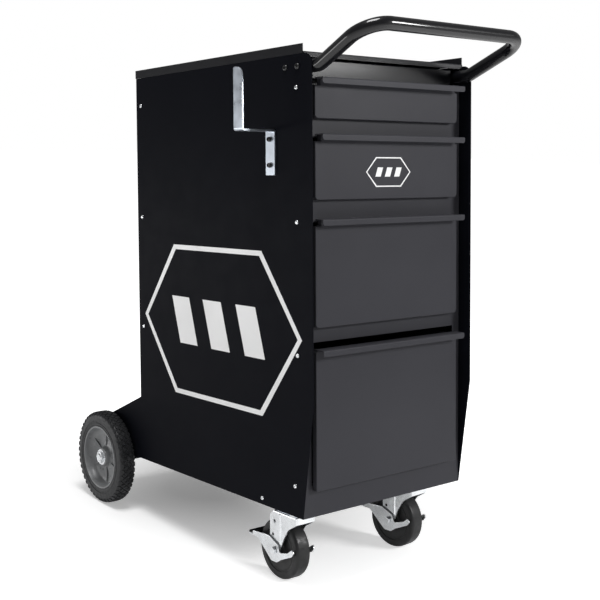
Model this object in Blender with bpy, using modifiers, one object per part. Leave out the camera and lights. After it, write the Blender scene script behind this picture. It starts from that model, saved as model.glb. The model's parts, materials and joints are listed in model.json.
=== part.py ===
"""Four-drawer welding cart.

A sheet-metal cabinet with an open tray on top, a bent-tube push handle and a cable hook. It stands on
two braked swivel casters at the front and two large wheels at the back, where the base runs on past the
cabinet as a shelf for a gas bottle.

The cart is drawn level, in millimetres: X across, Y backwards from the drawer rails, Z up from the cabinet's
bottom edge. The empty "cart" then leans it back until all four wheels stand on z = 0, because the casters are
taller than the rear wheels' mounting.
"""
import bpy
import bmesh
from math import asin, atan2, ceil, cos, hypot, pi, radians, sin, tan
from mathutils import Matrix, Vector

MM = 0.001
GAP = 0.3                       # kept between pieces that touch

# Cabinet
WIDTH = 400.0                   # over the side panels
SHEET = 1.5
PANEL_TOP = 815.0
PANEL_FRONT = -29.5             # the side panels stand this far in front of the rails
TAPER_TOP = 205.0               # below this the panels' front edge slopes back to the rails
CABINET_BACK = 549.0
SHELF_BACK = 732.0              # end of the bottle shelf
SHELF_SIDE_HIGH = 134.6         # height of the shelf's sides at the cabinet
SHELF_SIDE_LOW = 55.0           # and at their rear end
SHELF_LIP = 44.0
FLANGE = 18.0                   # width of the folded edges of the floor, back and shelf
PANEL_CORNER = 19.0
INSIDE = WIDTH / 2 - SHEET      # inner face of a side panel
SPAN = INSIDE - GAP             # half-width of what fits between the panels

# Tray
TRAY_FLOOR = 818.8              # its upper face
TRAY_RIM = 832.0
TRAY_FRONT = -8.0
TRAY_RIM_FRONT = -5.0
TRAY_BACK = 551.0
TRAY_STRIP_LOW = 809.5

# Drawers, from the top down: (name, top of the pull, bottom of the front, bottom and top of the box, and the
# radius of the front's lower corners)
DRAWERS = (
    ("drawer_1", 774.1, 704.3, 716.0, 764.0, 8.0),
    ("drawer_2", 677.3, 563.0, 577.0, 664.0, 8.0),
    ("drawer_3", 529.8, 338.6, 353.0, 514.0, 8.0),
    ("drawer_4", 301.5, 48.2, 62.0, 300.0, 2.5),
)
# The face frame's rails, from the bottom up: (bottom, top)
RAILS = ((0.0, 56.0), (312.1, 347.0), (524.0, 571.0), (672.0, 712.0))
RAIL_DEPTH = 18.0
STILE_TOP = 779.0
OPENING_HALF = 180.0            # half-width of the drawer openings
TOP_RAIL = (772.0, 807.5)       # the separate rail under the tray
FRONT_HALF = 178.8              # half-width of a drawer front
FRONT_FACE = -12.5
FRONT_DEPTH = 10.2
PULL_FACE = -33.2
PULL_DROP = 11.0
BOX_HALF = 167.0
BOX_BACK = 480.0
BOX_WALL = 1.2
FOLD = 2.0                      # bend radius of the sheet
HOLE_SIDES = 16

# Drawer slides
SLIDE_FRONT = 20.0
SLIDE_LENGTH = 450.0
SLIDE_WALL = 1.2
SLIDE_OUTER_HALF = 17.5
SLIDE_INNER_HALF = 10.0

# Handle
TUBE = 24.0
ARM_X = SPAN - TUBE / 2
ARM_SPREAD = 9.0                # how much further out each arm reaches at the bar
FOOT_END = 55.0
FOOT_Z = 793.8
FOOT_BEND = -34.3
BAR_Y = -164.2
BAR_Z = 850.5
BAR_CORNER = 47.5
FOOT_RADIUS = 36.0
HANDLE_SCREWS = (41.4, 8.3)

# Cable hook, on the left panel
HOOK_THICK = 3.5
HOOK_FRONT, HOOK_BACK = 69.5, 95.0
HOOK_LOW, HOOK_ARM, HOOK_TOP = 607.0, 688.0, 796.0
HOOK_OUT = 274.3
HOOK_SCREWS = (670.9, 624.8)

# Rear wheels
REAR_RADIUS = 101.6
REAR_X = 222.3
REAR_Y = 666.0
REAR_Z = -15.2
AXLE = 7.9
AXLE_END = 241.5

# Casters
CASTER_RADIUS = 57.15
CASTER_X = 147.1
CASTER_Y = 85.0                 # swivel axis
TRAIL = 33.0
CASTER_Z = -92.1                # wheel axle
CASTER_YAW = {"left": 0.0, "right": radians(4.0)}
LEG_INNER, LEG_OUTER = 19.5, 22.5
PIN = 4.0

STEEL_BLACK = ("panel_black", (0.012, 0.012, 0.015), 0.38, 0.0)
STEEL_GREY = ("front_grey", (0.070, 0.070, 0.078), 0.45, 0.0)
GLOSS_BLACK = ("handle_black", (0.006, 0.006, 0.007), 0.15, 0.0)
ZINC = ("zinc", (0.62, 0.64, 0.66), 0.35, 1.0)
SCREW_BLACK = ("screw_black", (0.02, 0.02, 0.02), 0.35, 0.6)
RUBBER = ("rubber_black", (0.018, 0.018, 0.019), 0.75, 0.0)
RIM_GREY = ("rim_grey", (0.16, 0.165, 0.17), 0.40, 0.0)

# Directions of a flat outline's two axes and its normal
PLANES = {
    "XY": Matrix(((1, 0, 0), (0, 1, 0), (0, 0, 1))),
    "YZ": Matrix(((0, 0, 1), (1, 0, 0), (0, 1, 0))),
    "XZ": Matrix(((1, 0, 0), (0, 0, -1), (0, 1, 0))),
}
NORMAL = {"XY": 2, "YZ": 0, "XZ": 1}


# ---------------------------------------------------------------- shape helpers
def clear_scene():
    for obj in list(bpy.data.objects):
        bpy.data.objects.remove(obj, do_unlink=True)


def collection(name):
    made = bpy.data.collections.new(name)
    bpy.context.scene.collection.children.link(made)
    return made


def material(look):
    name, colour, roughness, metallic = look
    if name in bpy.data.materials:
        return bpy.data.materials[name]
    made = bpy.data.materials.new(name)
    made.use_nodes = True
    shader = made.node_tree.nodes["Principled BSDF"]
    shader.inputs["Base Color"].default_value = (*colour, 1)
    shader.inputs["Roughness"].default_value = roughness
    shader.inputs["Metallic"].default_value = metallic
    return made


def put(name, data, parent, look=None, where=None):
    obj = bpy.data.objects.new(name, data)
    (where or PARTS).objects.link(obj)
    obj.parent = parent
    if look:
        data.materials.clear()
        data.materials.append(material(look))
    return obj


def joint_empty(name, parent, at, turn=0.0):
    """An empty on a joint's axis; what moves with the joint hangs from it."""
    obj = put(name, None, parent)
    obj.location = Vector(at) * MM
    obj.rotation_euler.z = turn
    return obj


def mesh_of(bm, name):
    data = bpy.data.meshes.new(name)
    bm.to_mesh(data)
    bm.free()
    return data


def rounded(points, radius, closed=False, step=radians(30)):
    """The outline with its corners turned into arcs. radius is one number, or one for each point."""
    count = len(points)
    radii = radius if isinstance(radius, (list, tuple)) else [radius] * count
    made = []
    for i, point in enumerate(points):
        here = Vector(point)
        if not radii[i] or (not closed and i in (0, count - 1)):
            made.append(tuple(here))
            continue
        before = (Vector(points[i - 1]) - here).normalized()
        after = (Vector(points[(i + 1) % count]) - here).normalized()
        half = before.angle(after) / 2
        centre = here + (before + after).normalized() * (radii[i] / sin(half))
        start = here + before * (radii[i] / tan(half)) - centre
        turn = (pi - 2 * half) * (1 if before.cross(after) < 0 else -1)
        steps = max(2, ceil(abs(turn) / step))
        for k in range(steps + 1):
            made.append(tuple(centre + Matrix.Rotation(turn * k / steps, 2) @ start))
    return made


def in_plane(plane, a, b, level):
    """The 3-D point, in metres, at (a, b) on a plane that lies at the given level."""
    point = PLANES[plane] @ Vector((a, b, 0))
    point[NORMAL[plane]] = level
    return point * MM


def as_mesh(obj, name):
    """Turn a curve object into a welded mesh in its parent's frame."""
    bpy.context.view_layer.update()
    seen = obj.evaluated_get(bpy.context.evaluated_depsgraph_get())
    data = bpy.data.meshes.new_from_object(seen)
    data.transform(obj.matrix_basis)
    bm = bmesh.new()
    bm.from_mesh(data)
    bmesh.ops.remove_doubles(bm, verts=bm.verts, dist=0.00001)
    bm.to_mesh(data)
    bm.free()
    data.name = name
    bpy.data.objects.remove(obj, do_unlink=True)
    return data


def plate(name, outline, plane, low, high, holes=(), openings=()):
    """A flat plate between two levels. Each hole is (a, b, radius), and each opening is an outline."""
    curve = bpy.data.curves.new(name, "CURVE")
    curve.dimensions = "2D"
    curve.fill_mode = "BOTH"
    curve.extrude = (high - low) / 2 * MM
    rings = [outline, *openings]
    for a, b, radius in holes:
        turns = [2 * pi * k / HOLE_SIDES for k in range(HOLE_SIDES)]
        rings.append([(a + radius * cos(turn), b + radius * sin(turn)) for turn in turns])
    for ring in rings:
        spline = curve.splines.new("POLY")
        spline.points.add(len(ring) - 1)
        for point, (a, b) in zip(spline.points, ring):
            point.co = (a * MM, b * MM, 0, 1)
        spline.use_cyclic_u = True
    obj = put(name, curve, None)
    obj.matrix_basis = PLANES[plane].to_4x4()
    obj.location = in_plane(plane, 0, 0, (low + high) / 2)
    return as_mesh(obj, name)


def block(name, x, y, z):
    """A rectangular block; each of x, y and z is (low, high)."""
    bm = bmesh.new()
    bmesh.ops.create_cube(bm, size=1)
    size = Vector((x[1] - x[0], y[1] - y[0], z[1] - z[0]))
    centre = Vector((x[1] + x[0], y[1] + y[0], z[1] + z[0])) / 2
    bmesh.ops.scale(bm, vec=size * MM, verts=bm.verts)
    bmesh.ops.translate(bm, vec=centre * MM, verts=bm.verts)
    return mesh_of(bm, name)


def rod(name, centre, axis, low, high, radius, sides=16):
    """A round bar along X, Y or Z between two levels; centre is where it crosses the other two axes."""
    bm = bmesh.new()
    bmesh.ops.create_cone(bm, cap_ends=True, segments=sides, radius1=radius * MM, radius2=radius * MM,
                          depth=(high - low) * MM)
    at = list(centre)
    at["XYZ".index(axis)] = (low + high) / 2
    turn = Vector((0, 0, 1)).rotation_difference(Vector([axis == c for c in "XYZ"])).to_matrix().to_4x4()
    bm.transform(Matrix.Translation(Vector(at) * MM) @ turn)
    return mesh_of(bm, name)


def solidify(obj, thickness, offset=0.0):
    modifier = obj.modifiers.new("thickness", "SOLIDIFY")
    modifier.thickness = thickness * MM
    modifier.offset = offset
    modifier.use_even_offset = True


def sheet(name, path, plane, low, high, corners=()):
    """An open surface: the path (a, b) carried along the plane's normal from low to high.

    Each corner is (path end, side, radius): 0 or -1 for the path's first or last point, and 0 or 1 for low
    or high.
    """
    bm = bmesh.new()
    rows = [[bm.verts.new(in_plane(plane, a, b, level)) for a, b in path] for level in (low, high)]
    for i in range(len(path) - 1):
        bm.faces.new((rows[0][i], rows[0][i + 1], rows[1][i + 1], rows[1][i]))
    for end, side, radius in corners:
        bmesh.ops.bevel(bm, geom=[rows[side][end]], offset=radius * MM, segments=5, profile=0.5,
                        affect="VERTICES")
    return mesh_of(bm, name)


def turned(name, profile, parent, look, steps, outward=1, ring=True):
    """A turned piece about its parent's X axis; the profile is (radius, distance outwards)."""
    bm = bmesh.new()
    verts = [bm.verts.new((radius * MM, 0, out * MM)) for radius, out in profile]
    for i in range(len(verts) - (0 if ring else 1)):
        bm.edges.new((verts[i], verts[(i + 1) % len(verts)]))
    obj = put(name, mesh_of(bm, name), parent, look)
    obj.rotation_euler.y = outward * pi / 2
    screw = obj.modifiers.new("turn", "SCREW")
    screw.axis = "Z"
    screw.steps = screw.render_steps = steps
    screw.use_merge_vertices = True
    screw.merge_threshold = 0.00001
    return obj


def boolean(obj, operation, mesh, name):
    """Join or cut with a mesh, kept as a hidden guide."""
    guide = put(name, mesh, obj.parent, where=CUTTERS)
    guide.hide_render = True
    guide.display_type = "WIRE"
    modifier = obj.modifiers.new(name, "BOOLEAN")
    modifier.operation = operation
    modifier.solver = "EXACT"
    modifier.object = guide


def smooth(obj, angle=35):
    obj.data.shade_smooth()
    obj.data.set_sharp_from_angle(angle=radians(angle))


# ---------------------------------------------------------------- the lean
def lean_angle():
    """How far back the cart leans, from the two wheel sizes and where their axles are."""
    along = REAR_Y - (CASTER_Y + TRAIL)
    up = REAR_Z - CASTER_Z
    return atan2(up, along) - asin((REAR_RADIUS - CASTER_RADIUS) / hypot(along, up))


def stand(cart):
    """Lean the cart on its wheels, with the origin on the floor under the middle of its outline."""
    lean = lean_angle()
    turn = Matrix.Rotation(-lean, 3, "X")
    rear = turn @ Vector((0, REAR_Y, REAR_Z))
    bar = turn @ Vector((0, BAR_Y, BAR_Z))
    middle_x = (AXLE_END - HOOK_OUT) / 2
    middle_y = (rear.y + REAR_RADIUS + bar.y - TUBE / 2) / 2
    cart.rotation_euler.x = -lean
    cart.location = Vector((-middle_x, -middle_y, REAR_RADIUS - rear.z)) * MM


# ---------------------------------------------------------------- cabinet
def side_panels(cart):
    outline = rounded(
        [(0, 0), (PANEL_FRONT, TAPER_TOP), (PANEL_FRONT, PANEL_TOP), (CABINET_BACK, PANEL_TOP),
         (CABINET_BACK, SHELF_SIDE_HIGH), (SHELF_BACK, SHELF_SIDE_LOW), (SHELF_BACK, 0)],
        [0, 0, PANEL_CORNER, 2, 0, 10, 12], closed=True, step=radians(15))
    screws = [(y, FOOT_Z, 3.3) for y in HANDLE_SCREWS]
    hook = [((HOOK_FRONT + HOOK_BACK) / 2, z, 3.3) for z in HOOK_SCREWS]
    left = plate("left", outline, "YZ", -WIDTH / 2, -INSIDE, screws + hook)
    put("side_panel_left", left, cart, STEEL_BLACK)
    right = plate("right", outline, "YZ", INSIDE, WIDTH / 2, screws)
    put("side_panel_right", right, cart, STEEL_BLACK)


def base_and_back(cart):
    """The cabinet's floor and back, and the pan behind it that a gas bottle stands on."""
    floor = SHEET / 2
    wall = CABINET_BACK - 2
    front = 2.5 + floor
    path = rounded([(front, FLANGE), (front, floor), (wall + floor, floor)], FOLD)
    base = put("base_pan", sheet("base", path, "YZ", -SPAN, SPAN), cart, STEEL_BLACK)
    solidify(base, SHEET)
    shelf_front = wall + SHEET + GAP
    lip = SHELF_BACK - floor - 1
    path = rounded([(shelf_front, FLANGE), (shelf_front, floor), (lip, floor), (lip, SHELF_LIP)], FOLD)
    shelf = put("bottle_shelf", sheet("shelf", path, "YZ", -SPAN, SPAN), cart, STEEL_BLACK)
    solidify(shelf, SHEET)
    edge = SPAN - SHEET / 2
    path = rounded([(-edge, wall - FLANGE), (-edge, wall), (edge, wall), (edge, wall - FLANGE)], FOLD)
    back = put("back_panel", sheet("back", path, "XY", SHEET + GAP, PANEL_TOP), cart, STEEL_BLACK)
    solidify(back, SHEET)


def top_tray(cart):
    half, floor = WIDTH / 2, TRAY_FLOOR - SHEET
    low = PANEL_TOP + GAP
    section = [(-half, TRAY_RIM), (-half, low), (-INSIDE, low), (-INSIDE, floor), (INSIDE, floor),
               (INSIDE, low), (half, low), (half, TRAY_RIM), (INSIDE, TRAY_RIM), (INSIDE, TRAY_FLOOR),
               (-INSIDE, TRAY_FLOOR), (-INSIDE, TRAY_RIM)]
    tray = put("top_tray", plate("tray", section, "XZ", TRAY_RIM_FRONT, TRAY_BACK), cart, STEEL_BLACK)
    rear = block("tray_rear", (-half + 0.5, half - 0.5), (TRAY_BACK - SHEET, TRAY_BACK - 0.1),
                 (floor + 0.4, TRAY_RIM - 0.2))
    boolean(tray, "UNION", rear, "tray_rear_rim")
    strip = rounded([(TRAY_RIM_FRONT + 4, TRAY_FLOOR - SHEET / 2 - 0.1),
                     (TRAY_FRONT + SHEET / 2, TRAY_FLOOR - SHEET / 2 - 0.1),
                     (TRAY_FRONT + SHEET / 2, TRAY_STRIP_LOW)], 1.5)
    front = put("tray_strip_guide", sheet("tray_strip", strip, "YZ", -SPAN, SPAN), cart, where=CUTTERS)
    solidify(front, SHEET - 0.2)
    front.hide_render = True
    front.display_type = "WIRE"
    join = tray.modifiers.new("strip", "BOOLEAN")
    join.operation, join.solver, join.object = "UNION", "EXACT", front


def face_frame(cart):
    """One plate with an opening for each drawer, and a flange behind each edge of its rails."""
    top, wide = RAILS[-1][1], OPENING_HALF
    outline = [(-SPAN, 0), (SPAN, 0), (SPAN, STILE_TOP), (wide, STILE_TOP), (wide, top), (-wide, top),
               (-wide, STILE_TOP), (-SPAN, STILE_TOP)]
    openings = [[(-wide, low), (wide, low), (wide, high), (-wide, high)]
                for (_, low), (high, _) in zip(RAILS, RAILS[1:])]
    frame = put("face_frame", plate("frame", outline, "XZ", 0, SHEET, openings=openings), cart, STEEL_GREY)
    inset = 0.1
    for number, (low, high) in enumerate(RAILS):
        edges = [("upper", high - inset - SHEET)]
        if number:
            edges.append(("lower", low + inset))
        for edge, z in edges:
            flange = block("flange", (inset - SPAN, SPAN - inset), (SHEET / 2, RAIL_DEPTH), (z, z + SHEET))
            boolean(frame, "UNION", flange, f"flange_{number}_{edge}")


def top_rail(cart):
    """The channel under the tray, between the handle's feet."""
    edge = SHEET / 2
    low, high = TOP_RAIL
    path = [(RAIL_DEPTH, low + edge), (edge, low + edge), (edge, high - edge), (RAIL_DEPTH, high - edge)]
    path = rounded(path, FOLD)
    half = ARM_X - TUBE / 2 - 0.8
    rail = put("top_rail", sheet("top_rail", path, "YZ", -half, half), cart, GLOSS_BLACK)
    solidify(rail, SHEET)


# ---------------------------------------------------------------- drawers
def drawer_front(name, parent, top, bottom, corner):
    """A shallow pan with rounded lower corners, and the folded pull across its top edge."""
    face_top = top - 0.8
    outline = rounded([(-FRONT_HALF, bottom), (FRONT_HALF, bottom), (FRONT_HALF, face_top),
                       (-FRONT_HALF, face_top)], [corner, corner, 1, 1], closed=True)
    bm = bmesh.new()
    face = bm.faces.new([bm.verts.new(in_plane("XZ", x, z, FRONT_FACE)) for x, z in outline])
    back = bmesh.ops.extrude_face_region(bm, geom=[face])["geom"]
    moved = [item for item in back if isinstance(item, bmesh.types.BMVert)]
    bmesh.ops.translate(bm, vec=(0, FRONT_DEPTH * MM, 0), verts=moved)
    bmesh.ops.delete(bm, geom=[item for item in back if isinstance(item, bmesh.types.BMFace)],
                     context="FACES_ONLY")
    bmesh.ops.recalc_face_normals(bm, faces=bm.faces)
    if face.normal.y > 0:
        bmesh.ops.reverse_faces(bm, faces=bm.faces)
    front = put(name + "_front", mesh_of(bm, name), parent, STEEL_GREY)
    solidify(front, BOX_WALL, offset=-1)
    edge = SHEET / 2
    path = rounded([(FRONT_FACE + 1.0, top - edge), (PULL_FACE + edge, top - edge),
                    (PULL_FACE + edge, top - PULL_DROP)], FOLD)
    pull = put(name + "_pull_guide", sheet("pull", path, "YZ", -FRONT_HALF, FRONT_HALF,
                                           [(-1, 0, 5), (-1, 1, 5)]), parent, where=CUTTERS)
    solidify(pull, SHEET)
    pull.hide_render = True
    pull.display_type = "WIRE"
    join = front.modifiers.new("pull", "BOOLEAN")
    join.operation, join.solver, join.object = "UNION", "EXACT", pull


def drawer_box(name, parent, low, high):
    """An open-topped box behind the front."""
    box = block(name, (-BOX_HALF, BOX_HALF), (FRONT_FACE + FRONT_DEPTH + GAP, BOX_BACK), (low, high))
    bm = bmesh.new()
    bm.from_mesh(box)
    lid = [face for face in bm.faces if face.normal.z > 0.9]
    bmesh.ops.delete(bm, geom=lid, context="FACES_ONLY")
    bm.to_mesh(box)
    bm.free()
    obj = put(name + "_box", box, parent, STEEL_GREY)
    solidify(obj, BOX_WALL, offset=-1)


def slide_path(reach_low, reach_high, half, lip):
    """Cross-section of a slide member in the XZ plane: a channel that opens towards the drawer."""
    edge = SLIDE_WALL / 2
    path = [(reach_low, half - edge), (reach_high - edge, half - edge), (reach_high - edge, -half + edge),
            (reach_low, -half + edge)]
    if lip:
        path = [(reach_low + edge, half - lip)] + path + [(reach_low + edge, lip - half)]
        path[1] = (reach_low + edge, half - edge)
        path[-2] = (reach_low + edge, edge - half)
    return path


def drawer_slides(cart, moving, name, height):
    for side, sign in (("left", -1), ("right", 1)):
        outer = slide_path(BOX_HALF + 5.5, SPAN, SLIDE_OUTER_HALF, 4.5)
        inner = slide_path(BOX_HALF + GAP, OPENING_HALF - 2.0, SLIDE_INNER_HALF, 0)
        rear = SLIDE_FRONT + SLIDE_LENGTH
        for part, path, parent, at in (("outer", outer, cart, height), ("inner", inner, moving, 0)):
            path = [(sign * x, z + at) for x, z in path]
            obj = put(f"{name}_slide_{part}_{side}", sheet(part, path, "XZ", SLIDE_FRONT, rear), parent, ZINC)
            solidify(obj, SLIDE_WALL)


def drawers(cart):
    for name, top, bottom, low, high, corner in DRAWERS:
        middle = (low + high) / 2
        moving = joint_empty(name, cart, (0, 0, middle))
        drawer_front(name, moving, top - middle, bottom - middle, corner)
        drawer_box(name, moving, low - middle, high - middle)
        drawer_slides(cart, moving, name, middle)


# ---------------------------------------------------------------- handle and hook
def screw(name, parent, at, side, head, head_high, shank, length):
    """A round-headed screw along X. at is where its shank passes the panel's outer face."""
    x, y, z = at
    body = put(name, rod(name, at, "X", *sorted((x + side * GAP, x + side * (GAP + head_high))), head),
               parent, SCREW_BLACK)
    pin = rod(name + "_shank", at, "X", *sorted((x + side * (GAP + 1), x - side * length)), shank, 12)
    boolean(body, "UNION", pin, name + "_shank")


def push_handle(cart):
    rise = (BAR_Z - FOOT_Z) / (FOOT_BEND - BAR_Y)
    slope = Vector((-1, rise)).normalized()
    reach = (FOOT_BEND - BAR_Y) / -slope.x
    side_view = [(FOOT_END, FOOT_Z), (FOOT_BEND, FOOT_Z), (BAR_Y, BAR_Z)]
    side_view = rounded(side_view, FOOT_RADIUS, step=radians(8))
    corner = [(ARM_X, 0), (ARM_X + ARM_SPREAD, reach), (0, reach)]
    corner = rounded(corner, BAR_CORNER, step=radians(12))[1:-1]
    right = [(ARM_X, y, z) for y, z in side_view[:-1]]
    right += [(x, FOOT_BEND + slope.x * along, FOOT_Z + slope.y * along) for x, along in corner]
    route = [(-x, y, z) for x, y, z in right] + right[::-1]
    curve = bpy.data.curves.new("push_handle", "CURVE")
    curve.dimensions = "3D"
    curve.bevel_depth = TUBE / 2 * MM
    curve.bevel_resolution = 4
    curve.use_fill_caps = True
    spline = curve.splines.new("POLY")
    spline.points.add(len(route) - 1)
    for point, co in zip(spline.points, route):
        point.co = (*(Vector(co) * MM), 1)
    mesh = as_mesh(put("tube", curve, None), "push_handle")
    handle = put("push_handle", mesh, cart, GLOSS_BLACK)
    smooth(handle)
    for side, sign in (("left", -1), ("right", 1)):
        for i, y in enumerate(HANDLE_SCREWS, 1):
            at = (sign * WIDTH / 2, y, FOOT_Z)
            inner = sorted((sign * (INSIDE + 1), sign * (INSIDE - 9)))
            hole = rod("hole", at, "X", *inner, 3.3)
            boolean(handle, "DIFFERENCE", hole, f"handle_hole_{side}_{i}")
            screw(f"handle_screw_{side}_{i}", cart, at, sign, 5.5, 3.2, 3.0, 8.0)


def cable_hook(cart):
    edge = HOOK_THICK / 2
    wall = -(WIDTH / 2 + GAP + edge)
    path = rounded([(wall, HOOK_LOW), (wall, HOOK_ARM - edge), (-HOOK_OUT + edge, HOOK_ARM - edge),
                    (-HOOK_OUT + edge, HOOK_TOP)], edge + 1.5)
    hook = put("cable_hook", sheet("hook", path, "XZ", HOOK_FRONT, HOOK_BACK,
                                   [(-1, 0, 18), (-1, 1, 4), (0, 0, 2), (0, 1, 2)]), cart, ZINC)
    solidify(hook, HOOK_THICK)
    middle = (HOOK_FRONT + HOOK_BACK) / 2
    outside = -(WIDTH / 2 + GAP + HOOK_THICK)
    for i, z in enumerate(HOOK_SCREWS, 1):
        hole = rod("hole", (0, middle, z), "X", outside - 2, outside + HOOK_THICK + 2, 3.3)
        boolean(hook, "DIFFERENCE", hole, f"hook_hole_{i}")
        screw(f"hook_screw_{i}", cart, (outside, middle, z), -1, 4.6, 5.5, 3.0, HOOK_THICK + SHEET)


# ---------------------------------------------------------------- rear wheels
TYRE_PROFILE = [(70.0, 17.0), (74.0, 18.4), (82.0, 18.6), (90.0, 17.6), (96.5, 15.6), (100.2, 13.6),
                (REAR_RADIUS, 11.0), (REAR_RADIUS, -11.0), (100.2, -13.6), (96.5, -15.6), (90.0, -17.6),
                (82.0, -18.6), (74.0, -18.4), (70.0, -17.0)]
RIM_PROFILE = [(67.8, 18.6), (69.7, 16.8), (69.7, -16.8), (66.5, -16.8), (63.0, -9.0), (22.0, -7.0),
               (19.0, -17.5), (AXLE + 0.4, -17.5), (AXLE + 0.4, 12.8), (16.0, 12.8), (18.5, 9.5),
               (21.0, -1.0), (40.0, -3.0), (58.0, -0.5), (64.5, 8.0), (66.0, 18.6)]


def rear_wheels(cart):
    for side, sign in (("left", -1), ("right", 1)):
        spin = joint_empty(f"rear_wheel_{side}", cart, (sign * REAR_X, REAR_Y, REAR_Z))
        smooth(turned(f"rear_tyre_{side}", TYRE_PROFILE, spin, RUBBER, 48, sign))
        smooth(turned(f"rear_rim_{side}", RIM_PROFILE, spin, RIM_GREY, 48, sign))
        hexagon = [(REAR_Y + 13.2 * cos(pi * k / 3), REAR_Z + 13.2 * sin(pi * k / 3)) for k in range(6)]
        level = sorted((sign * (REAR_X + 13.2), sign * (AXLE_END - 0.3)))
        nut = plate("nut", hexagon, "YZ", *level, [(REAR_Y, REAR_Z, AXLE + 0.5)])
        put(f"axle_nut_{side}", nut, cart, ZINC)
    put("rear_axle", rod("axle", (0, REAR_Y, REAR_Z), "X", -AXLE_END, AXLE_END, AXLE, 24), cart, ZINC)


def axle_channel(cart):
    """A hat section under the shelf, with an end plate at each side that carries the axle."""
    top, bottom, wide, flange = -GAP - SHEET / 2, REAR_Z - 13.5, 16.0, 34.0
    path = rounded([(REAR_Y - flange, top), (REAR_Y - wide, top), (REAR_Y - wide, bottom),
                    (REAR_Y + wide, bottom), (REAR_Y + wide, top), (REAR_Y + flange, top)], FOLD)
    channel = put("axle_channel", sheet("channel", path, "YZ", -SPAN, SPAN), cart, STEEL_BLACK)
    solidify(channel, SHEET)
    reach = wide - SHEET / 2 + 0.4
    outline = [(REAR_Y - reach, top - 3), (REAR_Y - reach, bottom + 2.5), (REAR_Y - reach + 2.5, bottom),
               (REAR_Y + reach - 2.5, bottom), (REAR_Y + reach, bottom + 2.5), (REAR_Y + reach, top - 3)]
    for side, sign in (("left", -1), ("right", 1)):
        level = sorted((sign * (SPAN - 6), sign * (SPAN - 1)))
        end = plate("end", outline, "YZ", *level, [(REAR_Y, REAR_Z, AXLE + 0.4)])
        boolean(channel, "UNION", end, f"axle_end_{side}")


# ---------------------------------------------------------------- casters
CASTER_WHEEL_PROFILE = [(51.0, 16.0), (54.6, 14.8), (56.6, 12.4), (CASTER_RADIUS, 9.0), (CASTER_RADIUS, -9.0),
                        (56.6, -12.4), (54.6, -14.8), (51.0, -16.0), (41.5, -16.0), (40.0, -13.2),
                        (25.0, -13.2), (22.0, -18.5), (PIN + 0.5, -18.5), (PIN + 0.5, 18.5), (22.0, 18.5),
                        (25.0, 13.2), (40.0, 13.2), (41.5, 16.0)]
LEG_OUTLINE = ([(-26, -14.8), (34, -14.8), (58, -35), (51, -54), (50, -72), (46.5, -107), (20.5, -107),
                (20.5, -91), (9, -66), (-4, -46), (-26, -33)],
               [0, 0, 4, 8, 8, 12, 12, 6, 20, 20, 0])
CROWN = (-27.0, -14.3)            # front face and top face of the fork's crown
CROWN_SHEET = 3.0
CROWN_LIP = -32.0                 # lower edge of the crown's front
LEVER_OUTLINE = ([(100, -71), (50, -68), (22, -80), (17, -94), (-6, -88), (-18, -79), (-24, -83), (-18, -92),
                  (14, -106), (26, -114), (43, -114), (84, -80), (100, -80)],
                 [3, 8, 5, 4, 8, 3, 3, 6, 8, 8, 8, 6, 2])
PEDAL = ((91.5, 115.0), (-80.0, -74.0))


def caster(cart, side, sign):
    name = f"caster_{side}"
    plate_low = -GAP - 3.0
    base = put(name + "_plate", block("plate", (-33.5, 33.5), (-46, 46), (plate_low, -GAP)), None, ZINC)
    base.parent = cart
    base.location = Vector((sign * CASTER_X, CASTER_Y, 0)) * MM
    race = rod("race", (0, 0, 0), "Z", -14.0, plate_low + 1, 25, 32)
    boolean(base, "UNION", race, name + "_race")
    bpy.data.objects[name + "_race"].parent = base

    swivel = joint_empty(name + "_swivel", cart, (sign * CASTER_X, CASTER_Y, 0), CASTER_YAW[side])
    crown = rounded([(-LEG_OUTER, -27), (LEG_OUTER, -27), (LEG_OUTER, 31), (-LEG_OUTER, 31)],
                    [6, 6, 3, 3], closed=True)
    fork = put(name + "_fork", plate("crown", crown, "XY", -18.3, -14.3), swivel, ZINC)
    legs = rounded(*LEG_OUTLINE, closed=True, step=radians(20))
    pin_hole = (TRAIL, CASTER_Z, PIN + 0.3)
    for hand, leg in (("near", -1), ("far", 1)):
        level = sorted((leg * LEG_INNER, leg * LEG_OUTER))
        boolean(fork, "UNION", plate("leg", legs, "YZ", *level, [pin_hole]), f"{name}_leg_{hand}")
    front, top = CROWN
    lip = block("lip", (-LEG_OUTER, LEG_OUTER), (front, front + CROWN_SHEET), (CROWN_LIP, top - 0.6))
    boolean(fork, "UNION", lip, name + "_lip")
    boolean(fork, "UNION", rod("cup", (0, 2, 0), "Z", -21.5, -15.5, 19, 24), name + "_cup")

    axle = joint_empty(name + "_axle", swivel, (0, TRAIL, CASTER_Z))
    bolt = [(PIN, -26.9), (7.4, -26.9), (7.4, -32.0), (0, -32.0)]
    profile = [(0, 32.0)] + [(r, -out) for r, out in bolt[::-1][1:]] + bolt
    smooth(turned(name + "_bolt", profile, axle, ZINC, 16, ring=False))
    smooth(turned(name + "_wheel", CASTER_WHEEL_PROFILE, axle, RUBBER, 40))

    lever_shape = rounded(*LEVER_OUTLINE, closed=True, step=radians(30))
    lever_shape = [(y - TRAIL, z - CASTER_Z) for y, z in lever_shape]
    near, far = -LEG_OUTER - 3.6, LEG_OUTER + 3.6
    hole = [(0, 0, PIN + 0.3)]
    lever = put(name + "_brake", plate("lever", lever_shape, "YZ", near, near + 2.6, hole), axle, ZINC)
    boolean(lever, "UNION", plate("lever", lever_shape, "YZ", far - 2.6, far, hole), name + "_brake_far")
    (y_low, y_high), (z_low, z_high) = PEDAL
    pedal = block("pedal", (near + 0.3, far - 0.3), (y_low - TRAIL, y_high - TRAIL),
                  (z_low - CASTER_Z + 0.2, z_high - CASTER_Z))
    boolean(lever, "UNION", pedal, name + "_pedal")


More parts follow.
